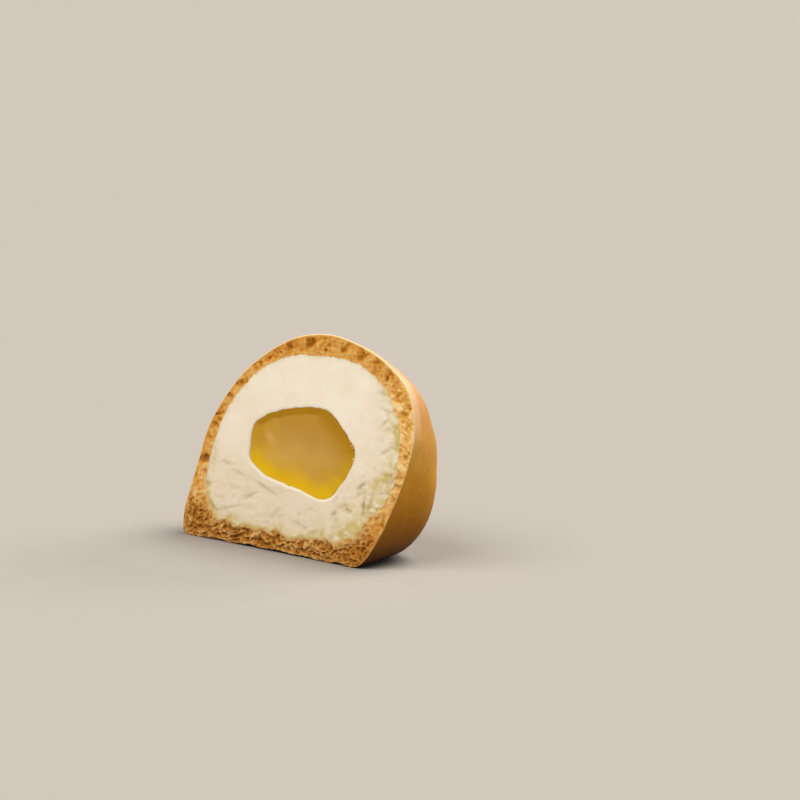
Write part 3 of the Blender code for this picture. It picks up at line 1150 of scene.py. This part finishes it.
@dataclass(frozen=True)
class Chestnut:
    """Candied chestnut, cut with the face, a little sunk and faintly crowned."""

    form: Form = SOCKET
    globe: Globe = Globe(around=480, inside=0, cut=60, outside=30)
    crown: float = 0.3
    rim_rise: float = 0.3
    # A painted glint: a pale streak near the left end
    painted_glint: Marks = ((-7.4, 22.7, 1.6, 0.75, -51.5, 0.55),)

    def build(self, shift: Array) -> Object:
        """Builds the chestnut.

        Args:
            shift: What brings the forms into the frame, in millimetres.

        Returns:
            The dressed piece.
        """
        mesh = self.globe.mesh()
        clock, share, _, cut, wall = self.globe.places(mesh)
        places = np.zeros((len(clock), 3))
        rim = self.form.rim(clock[cut], nut_edge(clock[cut]))
        x, z = self.form.centre
        middle = np.array((x, self.form.face_slope * z, z))
        across, _, from_rim = between(middle, rim, share[cut])
        across[:, 1] += lip_depth(clock[cut]) * share[cut] ** 2 + 0.04 * noise_at(across, 3.5, 21.0)
        across[:, 1] -= self.crown * (1 - share[cut] ** 3) - self.rim_rise * (1 - share[cut] ** 2)
        places[cut] = across
        places[wall] = self.form.points(clock[wall], share[wall])
        marks = {name: wall.astype(float) for name in ("clear", "syrup", "shade")}
        marks["painted_glint"] = np.zeros(len(clock))
        # Painted light and shade: the heart is lighter towards the bottom left, darker near the top
        marks["glow"] = smooth(0.3 * places[:, 0] + places[:, 2], 25.5, 15.5)
        for mark, tone in zip(marks.values(), self.tones(clock[cut], from_rim, across)):
            mark[cut] = tone
        piece = write_piece(mesh, "bun_chestnut", places, shift, marks)
        piece.data.materials.append(NutFinish().build())
        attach(piece, BODY)
        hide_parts("chestnut")
        return piece

    def tones(self, clock: Array, from_rim: Array, points: Array) -> tuple[Array, Array, Array, Array]:
        """Reads how the syrup has soaked the cut face, with painted light and shade laid over it.

        Args:
            clock: Clock angles on the face.
            from_rim: Their distance from the rim.
            points: The places themselves.

        Returns:
            How clear, how bright yellow (partly painted light), how dark (painted shade) and how strong the
            painted glint is at each place, from 0 to 1.
        """
        wander = 0.7 * noise_at(points, 2.6, 51.0)
        # The dark bands along the top and upper right are painted shade under the paste's lip; the bright
        # yellow ones on the right, bottom and lower left are partly the syrup's colour, partly painted
        # light through the edge
        bands = (
            # middle, half, soft of the stretch; where it starts and is full; strength, syrup, shade
            (112.0, 44.0, 14.0, 2.3, 1.1, 1.0, 0.0, 1.0),
            (105.0, 56.0, 30.0, 8.5, 2.5, 0.45, 0.0, 0.8),
            (38.0, 26.0, 26.0, 6.4, 0.4, 1.0, 0.0, 0.85),
            (350.0, 26.0, 18.0, 5.0, 0.4, 0.85, 0.4, 0.0),
            (318.0, 14.0, 18.0, 6.6, 0.4, 0.95, 0.7, 0.0),
            (300.0, 14.0, 22.0, 7.4, 1.2, 1.0, 0.95, 0.0),
            (240.0, 42.0, 24.0, 6.6, 0.9, 1.0, 1.0, 0.0),
            (174.0, 20.0, 24.0, 7.5, 1.5, 0.68, 0.3, 0.2),
        )
        clear, syrup, shade = (np.zeros(len(clock)) for _ in range(3))
        for middle, half, soft, start, full, strength, bright, dark in bands:
            stray = wander * (start - full) / 10
            here = strength * window(clock, middle, half, soft) * smooth(from_rim + stray, start, full)
            syrup, shade = np.maximum(syrup, bright * here), np.maximum(shade, dark * here)
            clear = np.maximum(clear, here)
        return clear, syrup, shade, placed(points, self.painted_glint)


@dataclass(frozen=True)
class StrayCrumbs:
    """Crumbs that the knife dragged onto the paste and against the chestnut."""

    count: int = 7
    small: float = 0.12
    large: float = 0.26
    # Their height value; at 0.3 the crumb finish's darkening towards the foot, partly painted shade, leaves
    # them as they are
    browning: float = 0.3
    # More of them low down than high up: the clock angle that most are near, and their spread
    clock: tuple[float, float] = (305.0, 40.0)
    # The least distance from the crust, and how much further in they may be
    inset: tuple[float, float] = (0.05, 0.4)
    seed: int = 11
    # Clock angle and distance from the chestnut's middle of those at its right edge
    by_nut: Keys = ((20.0, 11.1), (15.5, 11.3), (13.0, 11.4), (2.0, 11.7))
    # Their least size, and how much larger they may be
    by_nut_size: tuple[float, float] = (0.16, 0.2)

    def build(self, shift: Array) -> Object:
        """Builds the crumbs as small dented lumps, half sunk in the paste.

        Args:
            shift: What brings the forms into the frame, in millimetres.

        Returns:
            The dressed piece.
        """
        draw = np.random.default_rng(self.seed)
        clock = np.mod(self.clock[0] + self.clock[1] * draw.normal(size=self.count), 360)
        edge = HOLLOW.rim(clock, ragged_edge(clock))
        inward = (np.array((0.0, 0.0, HOLLOW.centre[1])) - edge) * FLAT
        inward /= np.linalg.norm(inward, axis=1)[:, None]
        spots = edge + inward * (self.inset[0] + self.inset[1] * draw.random(self.count))[:, None]
        size = self.small + (self.large - self.small) * draw.random(self.count) ** 2.5
        clock, reach = np.array(self.by_nut).T
        beside = reach[:, None] * ring_at(clock, 1.0) + np.array((0.0, 0.0, SOCKET.centre[1]))
        spots = np.concatenate([spots, beside])
        least, more = self.by_nut_size
        size = np.concatenate([size, least + more * draw.random(len(beside))])
        spots[:, 1] = HOLLOW.face_slope * spots[:, 2]
        mesh = bmesh.new()
        pit, height = mesh.verts.layers.float.new("pit"), mesh.verts.layers.float.new("height")
        for spot, radius in zip(spots, size):
            turn = Matrix.Rotation(draw.random() * math.tau, 4, "Y")
            stretch = Matrix.Diagonal((1.0 + 0.6 * draw.random(), 0.7, 0.8, 1.0))
            lump = bmesh.ops.create_icosphere(mesh, subdivisions=2, radius=radius)["verts"]
            tone = 0.3 * draw.random()
            for vertex in lump:
                dent = 1 + 0.35 * noise.noise(vertex.co / radius * 1.1 + Vector(spot))
                vertex.co = (turn @ stretch @ (vertex.co * dent) + Vector(spot + shift)) * MM
                vertex[pit], vertex[height] = tone, self.browning
        bmesh.ops.recalc_face_normals(mesh, faces=mesh.faces[:])
        piece = to_object(mesh, "bun_crumbs")
        piece.data.materials.append(CrumbFinish(name="loose crumb").build())
        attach(piece, BODY)
        return piece


@dataclass(frozen=True)
class SoftLight:
    """A broad studio light far away, so that it falls evenly on the bun and the floor."""

    name: str
    towards: tuple[float, float, float]
    strength: float
    spread: float
    colour: str

    def build(self) -> Object:
        """Hangs the light.

        Returns:
            The light.
        """
        light = bpy.data.lights.new(self.name, "SUN")
        light.energy = self.strength
        light.angle = math.radians(self.spread)
        light.color = linear(self.colour)[:3]
        lamp = bpy.data.objects.new(self.name, light)
        lamp.rotation_euler = (-Vector(self.towards)).to_track_quat("-Z", "Y").to_euler()
        bpy.context.scene.collection.objects.link(lamp)
        return lamp


@dataclass(frozen=True)
class Studio:
    """Pale floor, soft light and the camera at the photograph's viewing angle."""

    target: tuple[float, float, float] = (0.0, 0.0, 22.5)
    azimuth: float = 24.26
    elevation: float = 10.07
    distance: float = 700.3
    roll: float = 6.21
    lens: float = 153.07
    sensor: float = 36.0
    image: float = 800.0
    clip: tuple[float, float] = (0.01, 20.0)
    target_pixel: tuple[float, float] = (326.5, 438.7)
    floor_side: float = 40000.0
    floor_colour: str = "#ACA7A0"
    floor_roughness: float = 0.9
    sky: str = "#F2F4FA"
    sky_strength: float = 0.22
    lights: tuple[SoftLight, ...] = (
        SoftLight("front softbox", (-0.21, -0.69, 0.69), 2.26, 34.0, "#FFFBF4"),
        SoftLight("overhead softbox", (0.25, 0.35, 0.9), 2.3, 32.0, "#FFF8EE"),
        SoftLight("rim softbox", (0.32, 0.8, 0.5), 1.05, 26.0, "#FFF6E8"),
    )

    def floor(self) -> Object:
        """Lays the pale floor.

        Returns:
            The floor.
        """
        mesh = bmesh.new()
        bmesh.ops.create_grid(mesh, x_segments=1, y_segments=1, size=self.floor_side / 2 * MM)
        floor = to_object(mesh, "floor")
        paint = bpy.data.materials.new("matt floor paint")
        paint.use_nodes = True
        shader = paint.node_tree.nodes["Principled BSDF"]
        shader.inputs["Base Color"].default_value = linear(self.floor_colour)
        shader.inputs["Roughness"].default_value = self.floor_roughness
        floor.data.materials.append(paint)
        return floor

    def world(self) -> None:
        """An even sky that fills the shadows."""
        world = bpy.data.worlds.new("studio")
        world.use_nodes = True
        sky = world.node_tree.nodes["Background"]
        sky.inputs["Color"].default_value = linear(self.sky)
        sky.inputs["Strength"].default_value = self.sky_strength
        bpy.context.scene.world = world

    def camera(self) -> Object:
        """Sets the camera where the photograph was taken from.

        Returns:
            The camera.
        """
        lens = bpy.data.cameras.new("camera")
        lens.lens, lens.sensor_width = self.lens, self.sensor
        lens.clip_start, lens.clip_end = self.clip
        camera = bpy.data.objects.new("camera", lens)
        a, e = math.radians(self.azimuth), math.radians(self.elevation)
        back = Vector((math.sin(a) * math.cos(e), -math.cos(a) * math.cos(e), math.sin(e)))
        target = Vector(self.target) * MM
        focal = self.lens / self.sensor * self.image
        x, y = ((pixel - self.image / 2) / focal for pixel in self.target_pixel)
        ray = Vector((x, -y, -1.0))
        facing = (-back).to_track_quat("-Z", "Y")
        rolled = Quaternion((0, 0, 1), math.radians(self.roll))
        aside = ray.rotation_difference(Vector((0, 0, -1)))
        place = Matrix.Translation(target + back * self.distance * MM)
        camera.matrix_world = place @ (facing @ rolled @ aside).to_matrix().to_4x4()
        bpy.context.scene.collection.objects.link(camera)
        bpy.context.scene.camera = camera
        return camera

    def build(self) -> None:
        """Sets the stage, the lights and the camera."""
        bpy.context.scene.view_settings.view_transform = "Standard"
        self.floor()
        self.world()
        for light in self.lights:
            light.build()
        self.camera()


def frame_shift(crust: Crust) -> Array:
    """Finds what brings the forms into the frame, from the frame's own crust.

    Args:
        crust: The crust whose outside meets the frame's on its right, at its back and at its base.

    Returns:
        The shift in millimetres.
    """
    columns, rows = 132, 19
    low, high = (np.array(corner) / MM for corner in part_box("crust"))
    clock, turn = np.meshgrid(np.arange(0, 360, 360 / columns), np.linspace(0, 1, rows))
    own = crust.outside.points(clock.ravel(), turn.ravel())
    (right, back), base = own[:, :2].max(axis=0), own[:, 2].min()
    return np.array((high[0] - right, high[1] - back, low[2] - base))


def main() -> None:
    """Builds the bun's pieces in order, then the studio."""
    logging.basicConfig(level=logging.INFO, format="%(name)s: %(message)s")
    crust = Crust()
    shift = frame_shift(crust)
    LOG.info("shift into the frame: %s mm", np.round(shift, 3).tolist())
    for maker in (crust, Paste(), Chestnut(), StrayCrumbs()):
        piece = maker.build(shift)
        LOG.info("%s: %d faces", piece.name, len(piece.data.polygons))
    Studio().build()


if __name__ == "__main__":
    main()
